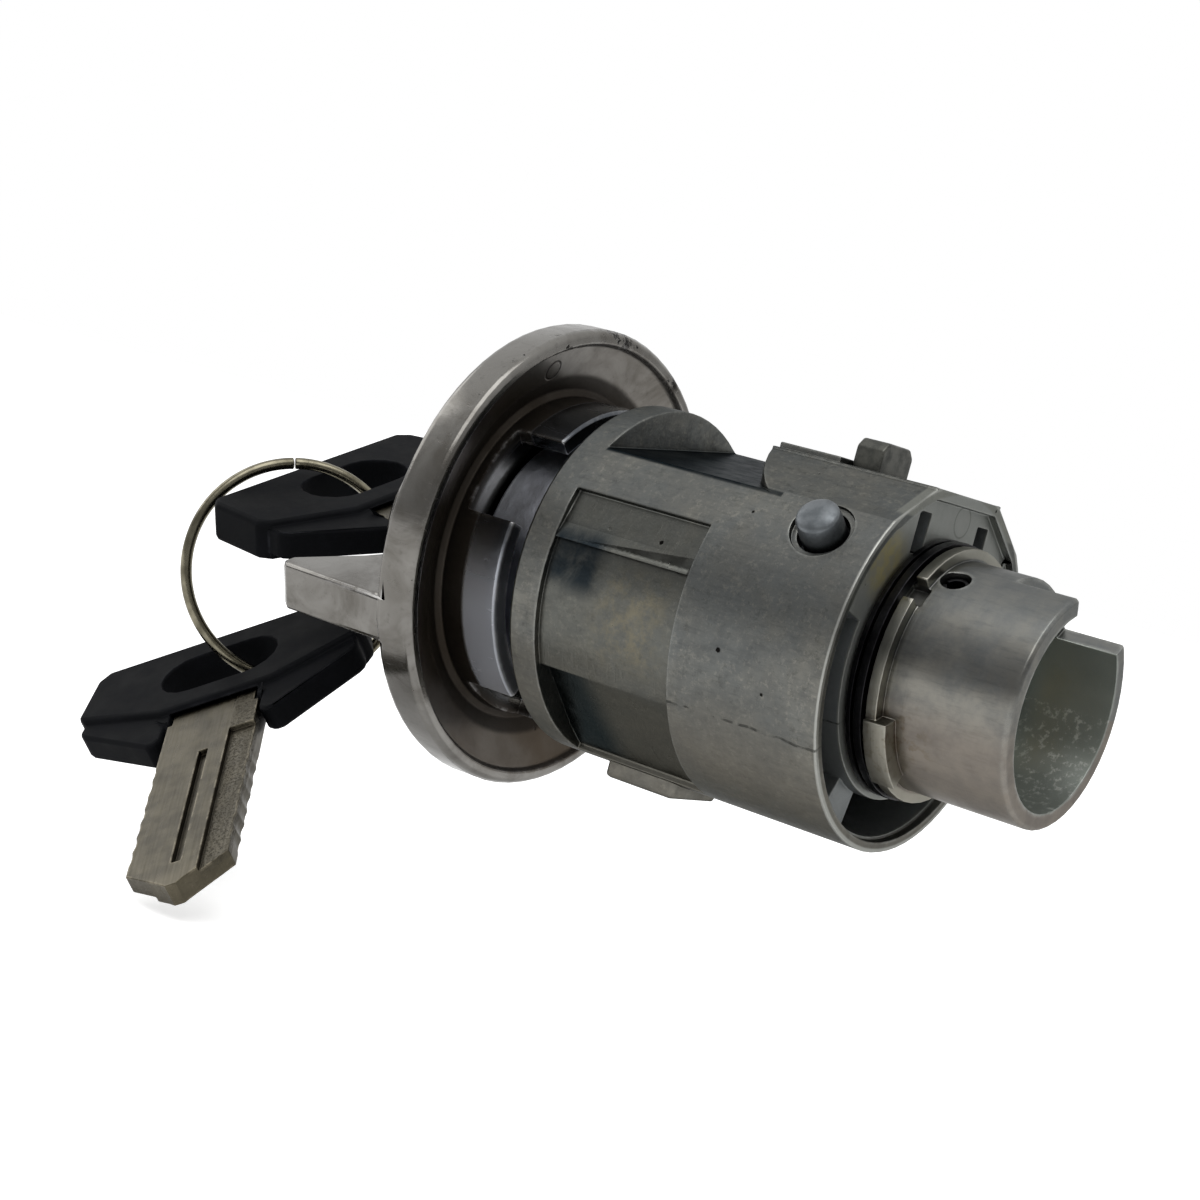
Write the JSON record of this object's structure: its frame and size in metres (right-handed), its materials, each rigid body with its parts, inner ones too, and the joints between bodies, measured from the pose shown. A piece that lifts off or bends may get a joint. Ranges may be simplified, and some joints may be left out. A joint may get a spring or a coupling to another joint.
{
  "type": "ignition switch",
  "caption": "Ignition switch lock: faceted die-cast body, round bezel knob with finger ears, drive sleeve, key in the lock and spare key on a wire ring.",
  "frame": {"origin": "on the lock's axis, in the plane of the knob's rear rim", "axes": "+X along the lock's axis from the keyhole towards the drive sleeve, +Z through the latch boss, -Y on the side of the retaining plunger"},
  "size_m": [0.1018, 0.0589, 0.0617],
  "materials": {
    "cast_zinc": "as-cast zinc, satin with soft mottling",
    "bezel_chrome": "polished plating with small pits",
    "plug_brass": "machined",
    "sleeve_steel": "turned, satin",
    "spring_steel": "dark oiled",
    "key_nickel": "nickel plated, satin",
    "key_head_black": "matt moulded"
  },
  "bodies": {
    "housing": {"housing": "cast_zinc", "plunger_spring": "spring_steel", "latch_spring": "spring_steel", "wave_washer": "spring_steel", "thrust_washer": "spring_steel"},
    "rotor": {"bezel_knob": "bezel_chrome", "plug": "plug_brass", "face_cap": "bezel_chrome", "drive_sleeve": "sleeve_steel", "cross_pin": "spring_steel", "wafer_1": "plug_brass", "wafer_2": "plug_brass", "wafer_3": "plug_brass", "wafer_4": "plug_brass", "wafer_5": "plug_brass", "wafer_6": "plug_brass", "wafer_7": "plug_brass", "wafer_spring_1": "spring_steel", "wafer_spring_2": "spring_steel", "wafer_spring_3": "spring_steel", "wafer_spring_4": "spring_steel", "wafer_spring_5": "spring_steel", "wafer_spring_6": "spring_steel", "wafer_spring_7": "spring_steel"},
    "key": {"key_blade": "key_nickel", "key_head": "key_head_black"},
    "ring": {"key_ring": "key_nickel"},
    "spare_key": {"spare_key_blade": "key_nickel", "spare_key_head": "key_head_black"},
    "plunger": {"retaining_plunger": "sleeve_steel"},
    "latch": {"latch_bolt": "cast_zinc"}
  },
  "joints": [
    {"name": "rotor_turn", "type": "hinge", "parent": "housing", "child": "rotor", "pos_m": [0, 0, 0], "axis": [1, 0, 0], "range_deg": [0, 90]},
    {"name": "key_slide", "type": "slide", "parent": "rotor", "child": "key", "axis": [-1, 0, 0], "range_m": [0, 0.03]},
    {"name": "ring_swing", "type": "hinge", "parent": "key", "child": "ring", "pos_m": [-0.02774, 0.00134, 0.00052], "axis": [0.622, 0.5982, -0.5053], "range_deg": [-8, 24]},
    {"name": "spare_swing", "type": "hinge", "parent": "ring", "child": "spare_key", "pos_m": [-0.03095, -0.00707, -0.01995], "axis": [-0.6646, -0.7094, 0.2347], "range_deg": [-30, 30]},
    {"name": "plunger_press", "type": "slide", "parent": "housing", "child": "plunger", "axis": [0, 0.8141, -0.5807], "range_m": [0, 0.0018], "stiffness_N_per_m": 600, "springref_m": -0.003},
    {"name": "latch_slide", "type": "slide", "parent": "housing", "child": "latch", "axis": [0, 0, -1], "range_m": [0, 0.0024], "stiffness_N_per_m": 500, "springref_m": -0.003, "deforming": ["latch_spring"]}
  ]
}
